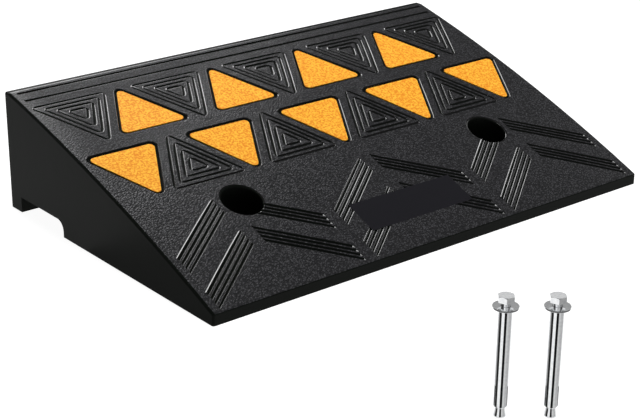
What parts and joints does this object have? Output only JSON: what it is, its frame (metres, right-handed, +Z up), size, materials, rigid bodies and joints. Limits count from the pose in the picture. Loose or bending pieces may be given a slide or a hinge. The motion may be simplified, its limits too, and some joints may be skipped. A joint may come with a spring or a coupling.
{
  "type": "rubber kerb ramp",
  "caption": "Black rubber wedge ramp for a kerb, with grooved tread, orange reflective triangles, a drain channel underneath and loose sleeve anchors to bolt it down.",
  "frame": {"origin": "middle of the ramp's length, on the ground at the foot of the kerb face", "axes": "+X along the kerb, +Y into the kerb and away from the toe, +Z up"},
  "size_m": [0.58, 0.6813, 0.129],
  "materials": {
    "black_rubber": "moulded black rubber, fine grain on the tread, smooth sides",
    "orange_reflective_film": "orange retroreflective film with an orange-peel face",
    "zinc_plated_steel": "bright zinc plate"
  },
  "bodies": {
    "ramp": {"ramp_body": "black_rubber", "reflector_upper_1": "orange_reflective_film", "reflector_upper_2": "orange_reflective_film", "reflector_upper_3": "orange_reflective_film", "reflector_upper_4": "orange_reflective_film", "reflector_lower_1": "orange_reflective_film", "reflector_lower_2": "orange_reflective_film", "reflector_lower_3": "orange_reflective_film", "reflector_lower_4": "orange_reflective_film", "reflector_lower_5": "orange_reflective_film"},
    "anchor_1": {"split_sleeve_1": "zinc_plated_steel"},
    "washer_1": {"flat_washer_1": "zinc_plated_steel"},
    "bolt_1": {"hex_bolt_1": "zinc_plated_steel"},
    "cone_1": {"cone_nut_1": "zinc_plated_steel"},
    "anchor_2": {"split_sleeve_2": "zinc_plated_steel"},
    "washer_2": {"flat_washer_2": "zinc_plated_steel"},
    "bolt_2": {"hex_bolt_2": "zinc_plated_steel"},
    "cone_2": {"cone_nut_2": "zinc_plated_steel"}
  },
  "joints": [
    {"name": "anchor_1_lift", "type": "slide", "parent": "ramp", "child": "anchor_1", "axis": [0, 0, 1], "range_m": [0, 0.12]},
    {"name": "washer_1_slide", "type": "slide", "parent": "anchor_1", "child": "washer_1", "axis": [0, 0, 1], "range_m": [0, 0.0038]},
    {"name": "bolt_1_turn", "type": "hinge", "parent": "anchor_1", "child": "bolt_1", "pos_m": [-0.1997, -0.6445, 0.05], "axis": [0, 0, -1], "range_deg": [0, 720]},
    {"name": "cone_1_draw", "type": "slide", "parent": "anchor_1", "child": "cone_1", "axis": [0, 0, 1], "range_m": [0, 0.0025]},
    {"name": "anchor_2_lift", "type": "slide", "parent": "ramp", "child": "anchor_2", "axis": [0, 0, 1], "range_m": [0, 0.12]},
    {"name": "washer_2_slide", "type": "slide", "parent": "anchor_2", "child": "washer_2", "axis": [0, 0, 1], "range_m": [0, 0.0038]},
    {"name": "bolt_2_turn", "type": "hinge", "parent": "anchor_2", "child": "bolt_2", "pos_m": [-0.167, -0.6703, 0.05], "axis": [0, 0, -1], "range_deg": [0, 720]},
    {"name": "cone_2_draw", "type": "slide", "parent": "anchor_2", "child": "cone_2", "axis": [0, 0, 1], "range_m": [0, 0.0025]}
  ],
  "couplings": [
    {"joint": "cone_1_draw", "follows": "bolt_1_turn", "m_per_rad": 0.0001989},
    {"joint": "cone_2_draw", "follows": "bolt_2_turn", "m_per_rad": 0.0001989}
  ]
}
